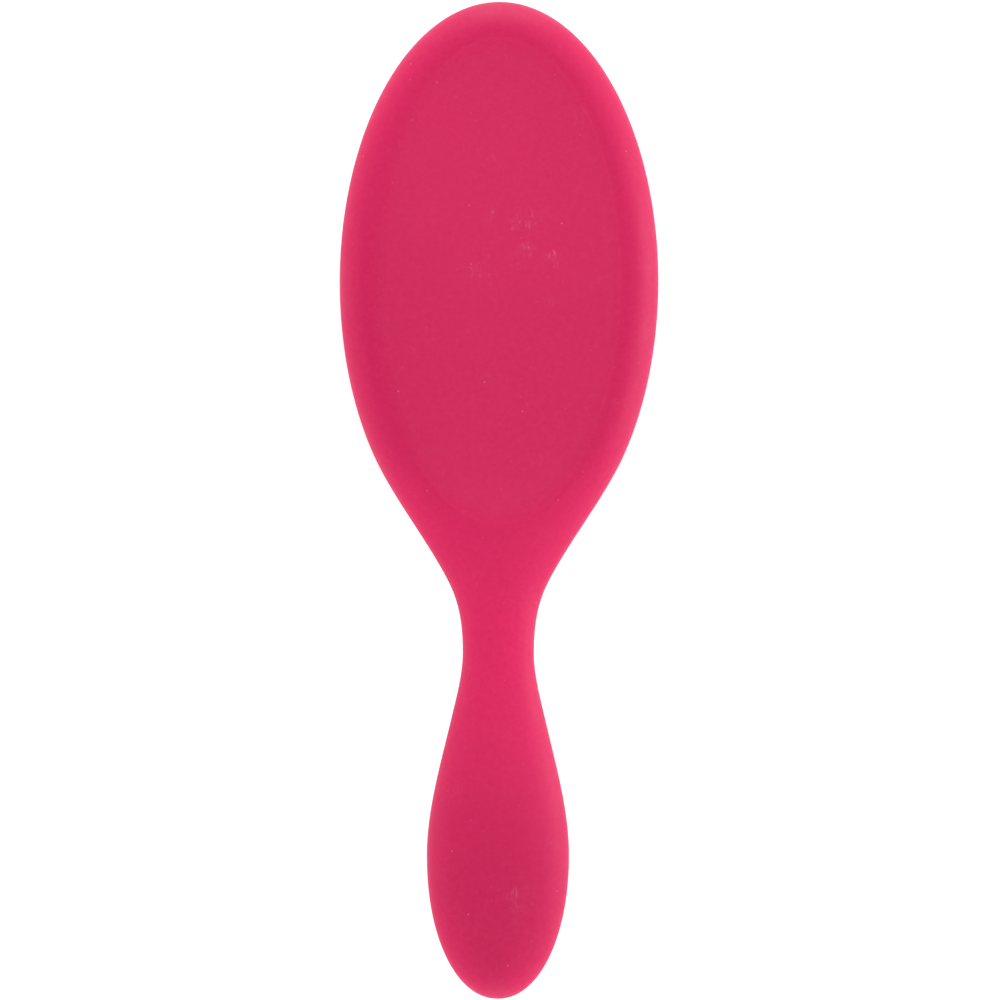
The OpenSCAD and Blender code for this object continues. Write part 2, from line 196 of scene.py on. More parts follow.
# Parts of a noise's range that are stretched over the whole effect.
NOISE_CORE, NOISE_BAND = (0.35, 0.65), (0.3, 0.7)
MARK_BAND, MARK_LEVELS = (0.55, 0.76), (0.06, 1)
PATCH_BAND = (0.55, 0.7)
MARK_STRETCH = 2.4

# Lint: spacing and radius of the specks, share of cells that have one, and turn of their grid.
COARSE_LINT = (4 * MM, 0.24 * MM, 0.6, 0.0)
FINE_LINT = (2 * MM, 0.13 * MM, 0.3, 1.7)
SPECK_CORE = 0.3

# Each handled place: its middle, how far its full strength goes, and where it ends.
TOUCHED = (
    ((4 * MM, 54 * MM, PANEL_Z), 8 * MM, 16 * MM),
    ((2 * MM, -90 * MM, PANEL_Z), 3 * MM, 7 * MM),
)
TOUCHED_ELSEWHERE = 0.15

# How much of each layer the body's colour takes.
# The seam's share is painted shade along the parting line's groove.
GRAIN_SHARE, MARK_SHARE, COARSE_SHARE, FINE_SHARE, SEAM_PAINTED_SHADE_SHARE = 0.32, 0.6, 0.45, 0.35, 0.45
# The panel's and the grip's shares of white, and where they fade, are painted sheen standing in for
# shine.
PANEL_PAINTED_SHEEN, GRIP_PAINTED_SHEEN = 0.0055, 0.0025
PANEL_SHEEN_EDGE = (0.93, 1.03)
GRIP_SHEEN_EDGE = (-40 * MM, -72 * MM)
SEAM_EDGE = (0.05 * MM, 0.14 * MM)
NYLON_MOTTLE_SHARE = 0.12

# Depth and strength of each bump.
FINE_BUMP = (0.04 * MM, 0.4)
CLOUD_BUMP = (0.05 * MM, 0.25)
SPECK_BUMP = (0.08 * MM, 0.6)
SEAM_BUMP = (0.1 * MM, 0.7)
RUBBER_BUMP = (0.03 * MM, 0.4)
NYLON_BUMP = (0.02 * MM, 0.3)

# Roughness, from one end of the noise to the other.
BODY_ROUGHNESS = (0.58, 0.68)
RUBBER_ROUGHNESS = (0.42, 0.55)
NYLON_ROUGHNESS = (0.24, 0.34)

# Studio: floor, world and camera.
FLOOR_HALF_SIDE = 1.6
FLOOR_GLOW = 0.45
WORLD_LIGHT = 0.70
PICTURE_WIDTH = 222.7 * MM
CAMERA_DISTANCE = 1.6
CAMERA_OFFSET = (0.31 * MM, 0.07 * MM)
CAMERA_TURN = math.radians(0.11)
CAMERA_RANGE = (0.05, 10)
SENSOR_WIDTH = 36

# Lights, some of which give only shading and others only shine on the surfaces.
SHADING, SHINE = "shading", "shine"
OVER_HEAD, OVER_TIP, OVER_NECK = (0, HEAD_Y, 0.03), (0, 0.105, 0.03), (0, -0.033, 0.03)
MIDDLE, CENTRE = (0, 0.03, 0.03), (0, 0, 0.03)
# Each light: name, place, aim, size, spread in degrees, watts, and what it gives.
LIGHTS = [
    ("over_head", (0, HEAD_Y, 0.26), OVER_HEAD, (0.12, 0.12), 180, 0.078, SHADING),
    ("over_tip", (0, 0.24, 0.12), OVER_TIP, (0.12, 0.05), 60, 0.0085, SHADING),
    ("over_neck", (0, -0.033, 0.3), OVER_NECK, (0.04, 0.04), 18, 0.0021, SHADING),
    ("left_low", (-0.75, 0.05, 0.06), MIDDLE, (0.06, 0.5), 180, 2.38, SHADING),
    ("left_mid", (-0.7, 0.05, 0.25), MIDDLE, (0.2, 0.7), 180, 0.3, SHADING),
    ("left_shine", (-0.75, 0.05, 0.06), MIDDLE, (0.06, 0.5), 180, 1.3, SHINE),
    ("right_low", (0.75, 0.05, 0.06), MIDDLE, (0.06, 0.5), 180, 1.62, SHADING),
    ("right_mid", (0.7, 0.05, 0.25), MIDDLE, (0.2, 0.7), 180, 1.78, SHADING),
    ("right_shine", (0.75, 0.05, 0.06), MIDDLE, (0.06, 0.5), 180, 8.4, SHINE),
    ("head_low", (0, 0.8, 0.06), CENTRE, (0.4, 0.06), 180, 1.45, SHADING),
    ("head_shine", (0, 0.8, 0.06), CENTRE, (0.4, 0.06), 180, 5.0, SHINE),
    ("foot_low", (0, -0.8, 0.06), CENTRE, (0.4, 0.06), 180, 2.33, SHADING),
    ("foot_shine", (0, -0.8, 0.06), CENTRE, (0.4, 0.06), 180, 2.2, SHINE),
]


def cubic(p0, m0, p1, m1, span, t):
    """Height and slope of a cubic between two places, each with a height and a slope."""
    height = (
        (2 * t**3 - 3 * t**2 + 1) * p0 + (t**3 - 2 * t**2 + t) * span * m0
        + (3 * t**2 - 2 * t**3) * p1 + (t**3 - t**2) * span * m1
    )
    slope = 6 * (t**2 - t) * (p0 - p1) / span + (3 * t**2 - 4 * t + 1) * m0 + (3 * t**2 - 2 * t) * m1
    return height, slope


def ease(t):
    """A smooth step from 0 to 1."""
    c = min(max(t, 0), 1)
    return c * c * (3 - 2 * c)


def head_point(turn):
    """An outline point: half width, place, inward direction, distance to the middle line."""
    nx, ns = math.sin(turn) / HALF_WIDTH, math.cos(turn) / HALF_LENGTH
    n = math.hypot(nx, ns)
    place = HALF_LENGTH * (1 - math.cos(turn))
    return HALF_WIDTH * math.sin(turn), place, -nx / n, ns / n, HALF_WIDTH**2 * n


def side_points(start, end, first, last, count):
    """Outline points from one knot to the next, without the first."""
    found = []
    for i in range(1, count + 1):
        x, slope = cubic(*first, *last, end - start, i / count)
        n = math.hypot(1, slope)
        found.append((x, start + (end - start) * i / count, -1 / n, slope / n, x * n))
    return found


def end_point(turn):
    """An outline point of the handle's round end."""
    span, half = BRUSH_LENGTH - GRIP_AT, GRIP_WIDTH / 2
    c, q = math.cos(turn) ** (2 / END_POWER), math.sin(turn) ** (2 / END_POWER)
    inner = max(c, LEAST_COSINE)
    nx, ns = inner ** (END_POWER - 1) / half, q ** (END_POWER - 1) / span
    m = math.hypot(nx, ns)
    if c < NO_WIDTH:
        return 0.0, BRUSH_LENGTH, 0.0, -1.0, half * inner * m / nx
    return half * c, GRIP_AT + span * q, -nx / m, -ns / m, half * inner * m / nx


def outline():
    """The right half of the outline, from the head's tip to the handle's end."""
    leave = math.acos(1 - LEAVE_AT / HALF_LENGTH)
    leave_half = HALF_WIDTH * math.sin(leave)
    leave_slope = HALF_WIDTH * math.cos(leave) / (HALF_LENGTH * math.sin(leave))
    neck, grip = NECK_WIDTH / 2, GRIP_WIDTH / 2
    shoulder_at = LEAVE_AT + (NECK_AT - LEAVE_AT) * SHOULDER_PLACE_SHARE
    flare_at = NECK_AT + (GRIP_AT - NECK_AT) * FLARE_PLACE_SHARE
    head_knot = (leave_half, leave_slope)
    shoulder_knot = (neck + (leave_half - neck) * SHOULDER_WIDTH_SHARE,
                     SHOULDER_SLOPE_SHARE * (neck - leave_half) / (NECK_AT - LEAVE_AT))
    flare_knot = (neck + (grip - neck) * FLARE_WIDTH_SHARE,
                  FLARE_SLOPE_SHARE * (grip - neck) / (GRIP_AT - NECK_AT))
    points = [head_point(leave * i / HEAD_STEPS) for i in range(HEAD_STEPS + 1)]
    points += side_points(LEAVE_AT, shoulder_at, head_knot, shoulder_knot, SHOULDER_STEPS)
    points += side_points(shoulder_at, NECK_AT, shoulder_knot, (neck, 0), NECK_STEPS)
    points += side_points(NECK_AT, flare_at, (neck, 0), flare_knot, FLARE_STEPS)
    points += side_points(flare_at, GRIP_AT, flare_knot, (grip, 0), GRIP_STEPS)
    points += [end_point(math.pi / 2 * i / END_STEPS) for i in range(1, END_STEPS + 1)]
    return points


RIGHT = outline()


def crest_depth(s, half):
    """Depth of a half's crest at a place along the brush."""
    head, neck, grip, end = half.depths
    if s < NECK_AT:
        return head + (neck - head) * ease((s - half.flat_end) / (NECK_AT - half.flat_end))
    if s < GRIP_AT:
        return neck + (grip - neck) * ease((s - NECK_AT) / (GRIP_AT - NECK_AT))
    return grip + (end - grip) * ease((s - GRIP_AT) / (BRUSH_LENGTH - GRIP_AT))


def headness(p):
    """1 on the head, 0 from the neck on."""
    return 1 - ease((p[1] - LEAVE_AT) / (NECK_AT - LEAVE_AT))


def curve_width(p, half):
    """Width of the rounded part of the section: the rim on the head, all of it on the handle."""
    return headness(p) * half.rim_width + (1 - headness(p)) * p[4]


def section_power(p, half):
    """Power of the section's curve: the rim's own on the head, the common one on the handle."""
    return headness(p) * half.power + (1 - headness(p)) * RIM_POWER


def opening_reach(p):
    """Distance inward from an outline point to the opening's edge, or None past its end."""
    a, b = OPENING_WIDTH / 2, OPENING_LENGTH / 2
    x, s, nx, ns, reach = p
    qa = (nx / a) ** 2 + (ns / b) ** 2
    qb = 2 * (x * nx / a**2 + (s - HALF_LENGTH) * ns / b**2)
    qc = (x / a) ** 2 + ((s - HALF_LENGTH) / b) ** 2 - 1
    disc = qb**2 - 4 * qa * qc
    if disc <= 0:
        return None
    d = (-qb - math.sqrt(disc)) / (2 * qa)
    return d if 0 < d < reach else None


def surface_point(p, d, half, base):
    """A point of a shell's surface, at a distance in from the outline; base is 0 or the wall."""
    t = min(max((d - base) / (curve_width(p, half) - base), 0), 1)
    power = section_power(p, half)
    rise = (1 - (1 - t) ** power) ** (1 / power)
    s = p[1] + d * p[3]
    fall = half.fall * headness(p) * p[3] ** 2 * max(0, 1 - d / PANEL_MARGIN)
    return p[0] + d * p[2], s, PART_Z + half.up * rise * (crest_depth(s, half) - fall - base)


def loops_of(half, base, rim_steps, face_steps, cut):
    """Loops of a shell's surface from the outline over the rim to the middle or the opening."""
    loops = []
    for k in range(rim_steps + face_steps + 1):
        loop = []
        for p in RIGHT:
            end = (opening_reach(p) if cut else None) or p[4]
            width = min(curve_width(p, half), end)
            turn = math.pi / 2 * min(k / rim_steps, 1)
            d = base + (width - base) * (1 - math.cos(turn) ** (2 / section_power(p, half)))
            if k > rim_steps:
                d = width + (end - width) * ((k - rim_steps) / face_steps) ** FACE_SPACING_POWER
            loop.append(surface_point(p, d, half, base))
        loops.append(loop)
    return loops


def round_opening(chain):
    """The front shell's loops, with the opening's front edge rounded instead of sharp."""
    reach = [opening_reach(p) for p in RIGHT]
    rounds = []
    for k in range(ROUND_STEPS + 1):
        turn = math.pi / 2 * k / ROUND_STEPS
        loop = []
        for p, r, last in zip(RIGHT, reach, chain[-1]):
            if r is None:
                loop.append(last)
                continue
            d = r - OPENING_ROUND * (1 - math.sin(turn))
            z = FRAME_Z + OPENING_ROUND * (1 - math.cos(turn))
            loop.append((p[0] + d * p[2], p[1] + d * p[3], z))
        rounds.append(loop)
    return chain[:-1] + rounds


def band_faces(rings, count, flip=False):
    """Faces between neighbouring rings of count points each."""
    faces = []
    for r in range(rings - 1):
        for i in range(count):
            a, b, j = r * count, (r + 1) * count, (i + 1) % count
            faces.append((a + i, a + j, b + j, b + i) if flip else (a + i, b + i, b + j, a + j))
    return faces


def opening_faces(rings, count):
    """Faces across the wall at the opening, from a shell's last ring to its first."""
    top = (rings - 1) * count
    is_open = [opening_reach(p) is not None for p in RIGHT]
    faces = []
    for i in range(count):
        j = (i + 1) % count
        if is_open[min(i, count - i)] or is_open[min(j, count - j)]:
            faces.append((top + i, top + j, j, i))
    return faces


def mesh_object(name, points, faces, smooth=True):
    """A new object of the scene with these points and faces."""
    mesh = bpy.data.meshes.new(name)
    mesh.from_pydata(points, [], faces)
    mesh.validate()
    obj = bpy.data.objects.new(name, mesh)
    bpy.context.scene.collection.objects.link(obj)
    for polygon in mesh.polygons:
        polygon.use_smooth = smooth
    return obj


def merge_close(obj, distance):
    """Joins points that fall together, points the faces outward and marks the sharp edges."""
    tool = bmesh.new()
    tool.from_mesh(obj.data)
    bmesh.ops.remove_doubles(tool, verts=tool.verts, dist=distance)
    bmesh.ops.dissolve_degenerate(tool, edges=tool.edges, dist=distance)
    bmesh.ops.recalc_face_normals(tool, faces=tool.faces)
    tool.to_mesh(obj.data)
    tool.free()
    obj.data.set_sharp_from_angle(angle=SHELL_SHARP)


def join_pieces(obj, others):
    """Adds the others' faces to obj, as more islands of the same piece."""
    tool = bmesh.new()
    tool.from_mesh(obj.data)
    for other in others:
        tool.from_mesh(other.data)
        bpy.data.objects.remove(other)
    tool.to_mesh(obj.data)
    tool.free()


def merged(parts):
    """One list of points and faces from several."""
    points, faces = [], []
    for some_points, some_faces in parts:
        start = len(points)
        points += some_points
        faces += [tuple(start + i for i in face) for face in some_faces]
    return points, faces


def shell(name, half, cut):
    """One half of the body: outer skin, parting face, inner skin, and the opening's edge."""
    outer = loops_of(half, 0, RIM_STEPS, FACE_STEPS, cut)
    inner = loops_of(half, WALL, INNER_RIM_STEPS, INNER_FACE_STEPS, cut)
    edge = [(p[0] + SEAM * p[2], p[1] + SEAM * p[3], PART_Z + half.up * SEAM / 4) for p in RIGHT]
    chain = inner[::-1] + [edge] + outer
    if cut:
        chain = round_opening(chain)
    points = []
    for loop in chain:
        points += [(x, HEAD_TIP - s, z) for x, s, z in loop]
        points += [(-x, HEAD_TIP - s, z) for x, s, z in loop[-2:0:-1]]
    count = 2 * (len(RIGHT) - 1)
    faces = band_faces(len(chain), count, flip=half.up < 0)
    if cut:
        faces += opening_faces(len(chain), count)
    obj = mesh_object(name, points, faces)
    merge_close(obj, SHELL_MERGE)
    return obj


def oval_ring(half_width, half_length, z, count):
    """One loop of points of an oval round the middle of the head."""
    return [
        (half_width * math.sin(2 * math.pi * i / count),
         HEAD_Y + half_length * math.cos(2 * math.pi * i / count), z)
        for i in range(count)
    ]


def oval_stack(rings, first, last):
    """Points and faces of a closed stack of ovals, from one middle point to the other."""
    count = len(rings[0])
    points = [p for ring in rings for p in ring] + [first, last]
    end = (len(rings) - 1) * count
    faces = [(i, (i + 1) % count, len(points) - 2) for i in range(count)]
    faces += band_faces(len(rings), count)
    faces += [(end + (i + 1) % count, end + i, len(points) - 1) for i in range(count)]
    return points, faces


def back_panel():
    """The flat oval panel of the back, which stands just proud of the rim."""
    edge = PANEL_MARGIN - PANEL_RAMP / 2
    a, b = HALF_WIDTH - edge, HALF_LENGTH - edge
    top, floor = PANEL_Z, PANEL_Z - PANEL_SUNK
    start = PANEL_Z - PANEL_RISE - PANEL_FOOT
    rings = [oval_ring(a * k, b * k, floor, PANEL_SIDES) for k in PANEL_UNDER_RINGS]
    for k in range(PANEL_RAMP_STEPS + 1):
        ramp = PANEL_RAMP * k / PANEL_RAMP_STEPS
        z = start + (top - start) * ease(k / PANEL_RAMP_STEPS)
        rings.append(oval_ring(a - ramp, b - ramp, z, PANEL_SIDES))
    a, b = a - PANEL_RAMP, b - PANEL_RAMP
    rings += [oval_ring(a * k, b * k, top, PANEL_SIDES) for k in PANEL_TOP_RINGS]
    points, faces = oval_stack(rings, (0, HEAD_Y, floor), (0, HEAD_Y, top))
    panel = mesh_object("panel", points, faces)
    merge_close(panel, OVAL_MERGE)
    return panel


def dome_z(base, x, y):
    """Height of the cushion's domed face over a place; y is counted from its middle."""
    return base + CUSHION_CROWN * ((x / PAD_WIDTH) ** 2 + (y / PAD_LENGTH) ** 2)


def dome_rings(base, count, reach):
    """Rings of a domed face, from near its middle out to a share of its size."""
    return [
        oval_ring(PAD_WIDTH * k / count * reach, PAD_LENGTH * k / count * reach,
                  base + CUSHION_CROWN * (k / count * reach) ** 2, CUSHION_SIDES)
        for k in range(1, count + 1)
    ]


def pin_places():
    """For each row, its place along the cushion and the places of its pins across it."""
    field_width, field_length = PAD_WIDTH - FIELD_MARGIN, PAD_LENGTH - FIELD_MARGIN
    rows = []
    half = (ROWS - 1) // 2
    for i in range(1, ROWS + 1):
        y = (i - half - 1) * ROW_PITCH
        reach = field_width * math.sqrt(max(0, 1 - (y / field_length) ** 2))
        shift = 0.5 if (i + half) % 2 == 0 else 0
        places = []
        for k in range(-MOST_PINS_EACH_WAY, MOST_PINS_EACH_WAY):
            x = (k + shift) * PIN_PITCH
            if abs(x) <= reach and not (i == VENT_ROW and abs(x) < VENT_DIAMETER):
                places.append(x)
        rows.append((y, places))
    return rows


def collar(x, y):
    """Small raised ring of rubber round a pin's root."""
    points = []
    for radius, rise in COLLAR:
        for i in range(COLLAR_SIDES):
            turn = 2 * math.pi * i / COLLAR_SIDES
            px, py = x + radius * math.cos(turn), y + radius * math.sin(turn)
            points.append((px, HEAD_Y + py, dome_z(CROWN_Z, px, py) + rise))
    return points, band_faces(len(COLLAR), COLLAR_SIDES)


def cushion_side():
    """Distance in from the cushion's side, and height, from its inside over the lip to its face."""
    edge_z = CROWN_Z + CUSHION_CROWN
    rise = (FRAME_Z - edge_z) / 2
    lip = LIP_WIDTH - 2 * CUSHION_CLEARANCE
    lip_z = LIP_TOP_Z - LIP_THICKNESS
    profile = [
        (CUSHION_THICKNESS, BACKING_Z + CUSHION_CROWN), (CUSHION_THICKNESS, LIP_TOP_Z),
        (-lip + LIP_ROUND, LIP_TOP_Z), (-lip, LIP_TOP_Z - LIP_ROUND),
        (-lip, lip_z + LIP_ROUND), (-lip + LIP_ROUND, lip_z), (0, lip_z),
    ]
    for k in range(ROLL_STEPS + 1):
        turn = math.pi / 2 * k / ROLL_STEPS
        d = CUSHION_THICKNESS * (1 - math.cos(turn))
        profile.append((d, edge_z + rise * (1 - math.sin(turn))))
    return profile


def cushion_piece():
    """The rubber cushion: domed face with collars, rounded side, lip, and a vent."""
    rings = dome_rings(BACKING_Z, INNER_DOME_RINGS, INNER_DOME_REACH)
    rings += [oval_ring(PAD_WIDTH - d, PAD_LENGTH - d, z, CUSHION_SIDES) for d, z in cushion_side()]
    rings += dome_rings(CROWN_Z, OUTER_DOME_RINGS, OUTER_DOME_REACH)[::-1]
    points, faces = oval_stack(rings, (0, HEAD_Y, BACKING_Z), (0, HEAD_Y, CROWN_Z))
    obj = mesh_object("cushion_rubber", points, faces)
    merge_close(obj, OVAL_MERGE)
    cut_vent(obj)
    collars = merged([collar(x, y) for y, places in pin_places() for x in places])
    join_pieces(obj, [mesh_object("collars", *collars)])
    obj.data.set_sharp_from_angle(angle=RUBBER_SHARP)
    return obj


def cut_vent(obj):
    """Cuts the air vent through the cushion."""
    y = pin_places()[VENT_ROW - 1][0]
    bpy.ops.mesh.primitive_cylinder_add(
        vertices=VENT_SIDES, radius=VENT_DIAMETER / 2, depth=VENT_CUT_LENGTH,
        location=(0, HEAD_Y + y, dome_z(CROWN_Z, 0, y)))
    cutter = bpy.context.object
    cut = obj.modifiers.new("vent", "BOOLEAN")
    cut.object = cutter
    cut.operation = "DIFFERENCE"
    cut.solver = "EXACT"
    tree = bpy.context.evaluated_depsgraph_get()
    mesh = bpy.data.meshes.new_from_object(obj.evaluated_get(tree))
    obj.modifiers.clear()
    obj.data = mesh
    bpy.data.objects.remove(cutter)


def pin(x, y):
    """One round tapered pin with a ball tip, leaning out a little with the cushion's dome."""
    root_z = dome_z(BACKING_Z, x, y) + BACKING_THICKNESS
    tip_z = TIP_CROWN * ((x / PAD_WIDTH) ** 2 + (y / PAD_LENGTH) ** 2)
    lean = 2 * CUSHION_CROWN * PIN_LENGTH
    root = Vector((x, y + HEAD_Y, root_z))
    tip = Vector((x * (1 + lean / PAD_WIDTH**2), y * (1 + lean / PAD_LENGTH**2) + HEAD_Y, tip_z))
    ball = BALL_DIAMETER / 2
    along = (root - tip).normalized()
    centre = tip + Vector((0, 0, ball))
    length = (root - centre).length
    levels = [(length * share, radius) for share, radius in PIN_BY_SHARE] + list(PIN_BY_HEIGHT)
    start = math.asin(PIN_NECK / ball)
    for k in range(BALL_STEPS):
        turn = start + (math.pi - start) * k / BALL_STEPS
        levels.append((ball * math.cos(turn), ball * math.sin(turn)))
    points = []
    for up, radius in levels:
        c = centre + along * up
        for i in range(PIN_SIDES):
            turn = 2 * math.pi * i / PIN_SIDES
            points.append((c.x + radius * math.cos(turn), c.y + radius * math.sin(turn), c.z))
    faces = band_faces(len(levels), PIN_SIDES)
    pole, base = len(points), (len(levels) - 1) * PIN_SIDES
    points.append(tuple(centre - along * ball))
    faces += [(base + i, pole, base + (i + 1) % PIN_SIDES) for i in range(PIN_SIDES)]
    faces.append(tuple(range(PIN_SIDES)))
    return points, faces


def backing(y):
    """A slice of the sheet that carries one row of pins."""
    half_width = PAD_WIDTH - CUSHION_THICKNESS - BACKING_CLEARANCE
    half_length = PAD_LENGTH - CUSHION_THICKNESS - BACKING_CLEARANCE
    half_slice, limit = (ROW_PITCH - SLICE_GAP) / 2, half_length * BACKING_REACH
    points = []
    for end in (max(y - half_slice, -limit), min(y + half_slice, limit)):
        reach = half_width * math.sqrt(1 - (end / half_length) ** 2)
        for height in (0, BACKING_THICKNESS):
            for k in range(BACKING_STEPS + 1):
                x = reach * (2 * k / BACKING_STEPS - 1)
                points.append((x, end + HEAD_Y, dome_z(BACKING_Z, x, end) + height))
    n = BACKING_STEPS + 1
    faces = []
    for k in range(BACKING_STEPS):
        faces += [
            (k, k + 1, n + k + 1, n + k), (2 * n + k, 3 * n + k, 3 * n + k + 1, 2 * n + k + 1),
            (k, 2 * n + k, 2 * n + k + 1, k + 1), (n + k, n + k + 1, 3 * n + k + 1, 3 * n + k),
        ]
    faces += [(0, n, 3 * n, 2 * n), (n - 1, 3 * n - 1, 4 * n - 1, 2 * n - 1)]
    return points, faces


def pin_row(index, y, places):
    """One row of pins on its slice of the backing."""
    points, faces = merged([backing(y)] + [pin(x, y) for x in places])
    obj = mesh_object(f"pins_{index:02d}", points, faces)
    tool = bmesh.new()
    tool.from_mesh(obj.data)
    bmesh.ops.recalc_face_normals(tool, faces=tool.faces)
    tool.to_mesh(obj.data)
    tool.free()
    obj.data.set_sharp_from_angle(angle=RUBBER_SHARP)
    return obj


def material(name):
    """A new material, its node tree, and its main shader."""
    made = bpy.data.materials.new(name)
    made.use_nodes = True
    tree = made.node_tree
    return made, tree, tree.nodes["Principled BSDF"]


def node(tree, kind, **values):
    """A new shader node with its inputs set by name."""
    made = tree.nodes.new(kind)
    for key, value in values.items():
        made.inputs[key.replace("_", " ")].default_value = value
    return made


def feed(tree, socket, value):
    """Gives an input a number, a colour or another node's output."""
    if isinstance(value, (float, int)):
        socket.default_value = value
    elif isinstance(value, tuple):
        socket.default_value = (*value, 1)
    else:
        tree.links.new(value, socket)


def object_coords(tree):
    """Places in the object's own frame, in metres."""
    return tree.nodes.new("ShaderNodeTexCoord").outputs["Object"]


def split_coords(tree, coords):
    """The X, Y and Z of a place, as outputs by name."""
    split = tree.nodes.new("ShaderNodeSeparateXYZ")
    tree.links.new(coords, split.inputs[0])
    return split.outputs


def placed(tree, coords, location=(0, 0, 0), rotation=(0, 0, 0), scale=(1, 1, 1)):
    """Coordinates counted from a place, along turned axes and in other units of length."""
    made = node(tree, "ShaderNodeMapping")
    made.vector_type = "TEXTURE"
    made.inputs["Location"].default_value = location
    made.inputs["Rotation"].default_value = rotation
    made.inputs["Scale"].default_value = scale
    tree.links.new(coords, made.inputs["Vector"])
    return made.outputs[0]


def noise(tree, coords, scale, detail, roughness):
    """A noise from 0 to 1."""
    made = node(tree, "ShaderNodeTexNoise", Scale=scale, Detail=detail, Roughness=roughness)
    tree.links.new(coords, made.inputs["Vector"])
    return made.outputs["Fac"]


def remap(tree, value, source, target=(0, 1)):
    """A value stretched from one range to another, and held at the ends."""
    made = node(tree, "ShaderNodeMapRange",
                From_Min=source[0], From_Max=source[1], To_Min=target[0], To_Max=target[1])
    tree.links.new(value, made.inputs["Value"])
    return made.outputs["Result"]


def mix(tree, factor, a, b):
    """A colour mix; a and b are colours or outputs."""
    made = tree.nodes.new("ShaderNodeMix")
    made.data_type = "RGBA"
    for socket, value in ((made.inputs[0], factor), (made.inputs[6], a), (made.inputs[7], b)):
        feed(tree, socket, value)
    return made.outputs[2]


def math_node(tree, operation, *values):
    """One step of arithmetic on numbers or outputs."""
    made = tree.nodes.new("ShaderNodeMath")
    made.operation = operation
    for socket, value in zip(made.inputs, values):
        feed(tree, socket, value)
    return made.outputs[0]


def vector_length(tree, operation, *vectors):
    """The length of a vector, or the distance between two."""
    made = tree.nodes.new("ShaderNodeVectorMath")
    made.operation = operation
    for socket, vector in zip(made.inputs, vectors):
        if isinstance(vector, tuple):
            socket.default_value = vector
        else:
            tree.links.new(vector, socket)
    return made.outputs["Value"]


def bump(tree, height, distance, strength, after=None):
    """A normal for a height, on top of an earlier bump's normal."""
    made = node(tree, "ShaderNodeBump", Strength=strength, Distance=distance)
    tree.links.new(height, made.inputs["Height"])
    if after is not None:
        tree.links.new(after, made.inputs["Normal"])
    return made.outputs["Normal"]


def lint(tree, coords, spacing, radius, share, turn):
    """1 in small specks, where the surface cuts balls that sit in a share of the cells."""
    place = placed(tree, coords, location=(turn * MM, 0, 0), rotation=(0, 0, turn))
    cells = node(tree, "ShaderNodeTexVoronoi", Scale=1 / spacing, Randomness=1.0)
    tree.links.new(place, cells.inputs["Vector"])
    edge = radius / spacing
    speck = remap(tree, cells.outputs["Distance"], (edge, SPECK_CORE * edge))
    split = tree.nodes.new("ShaderNodeSeparateColor")
    tree.links.new(cells.outputs["Color"], split.inputs[0])
    chosen = math_node(tree, "LESS_THAN", split.outputs[0], share)
    return math_node(tree, "MULTIPLY", speck, chosen)


def panel_mask(tree, coords):
    """1 on the flat panel of the back, 0 outside it."""
    size = (HALF_WIDTH - PANEL_MARGIN, HALF_LENGTH - PANEL_MARGIN, 1)
    place = placed(tree, coords, location=(0, HEAD_Y, PANEL_Z), scale=size)
    return remap(tree, vector_length(tree, "LENGTH", place), PANEL_SHEEN_EDGE, (1, 0))


def touched(tree, coords):
    """1 near the places where the back was handled most, and little elsewhere."""
    nearness = TOUCHED_ELSEWHERE
    for place, near, far in TOUCHED:
        away = vector_length(tree, "DISTANCE", coords, place)
        nearness = math_node(tree, "MAXIMUM", remap(tree, away, (near, far), (1, 0)), nearness)
    return nearness


def smudges(tree, coords):
    """Paler marks drawn out along the length, in a few patches, mostly where it was handled."""
    place = placed(tree, coords, scale=(1, MARK_STRETCH, 1))
    marks = remap(tree, noise(tree, place, *MARKS), MARK_BAND, MARK_LEVELS)
    patches = remap(tree, noise(tree, coords, *MARK_PATCHES), PATCH_BAND)
    handled = math_node(tree, "MULTIPLY", marks, patches)
    return math_node(tree, "MULTIPLY", handled, touched(tree, coords))


def parting_line(tree, height):
    """1 on the hairline round the sides where the two halves of the body meet."""
    away = math_node(tree, "ABSOLUTE", math_node(tree, "SUBTRACT", height, PART_Z))
    return remap(tree, away, SEAM_EDGE, (1, 0))


def painted_sheen(tree, coords):
    """Painted sheen: share of white mixed into the colour in place of shine, most on the flat panel,
    some on the grip.
    """
    grip = remap(tree, split_coords(tree, coords)["Y"], GRIP_SHEEN_EDGE, (0, GRIP_PAINTED_SHEEN))
    panel = math_node(tree, "MULTIPLY", panel_mask(tree, coords), PANEL_PAINTED_SHEEN)
    return math_node(tree, "ADD", panel, grip)


def body_colour(tree, coords, grain, specks, seam):
    """Two pinks in broad clouds, and over them grain, marks, lint, painted sheen, and the parting line
    with its painted shade.
    """
    fine_specks = lint(tree, coords, *FINE_LINT)
    layers = (
        (remap(tree, grain, NOISE_BAND, (0, GRAIN_SHARE)), BODY_GRAIN),
        (math_node(tree, "MULTIPLY", smudges(tree, coords), MARK_SHARE), LINT),
        (math_node(tree, "MULTIPLY", specks, COARSE_SHARE), LINT),
        (math_node(tree, "MULTIPLY", fine_specks, FINE_SHARE), LINT),
        # Painted sheen: white mixed in on the panel and the grip, where the surface shines more.
        (painted_sheen(tree, coords), PAINTED_SHEEN_WHITE),
        # The parting line's darker pink is painted shade in its groove. The groove itself is the seam
        # bump in soft_touch.
        (math_node(tree, "MULTIPLY", seam, SEAM_PAINTED_SHADE_SHARE), SEAM_PAINTED_SHADE),
    )
    broad = noise(tree, coords, *BODY_BROAD)
    colour = mix(tree, remap(tree, broad, NOISE_CORE), BODY_DEEP, BODY_BRIGHT)
    for share, tint in layers:
        colour = mix(tree, share, colour, tint)
    return colour


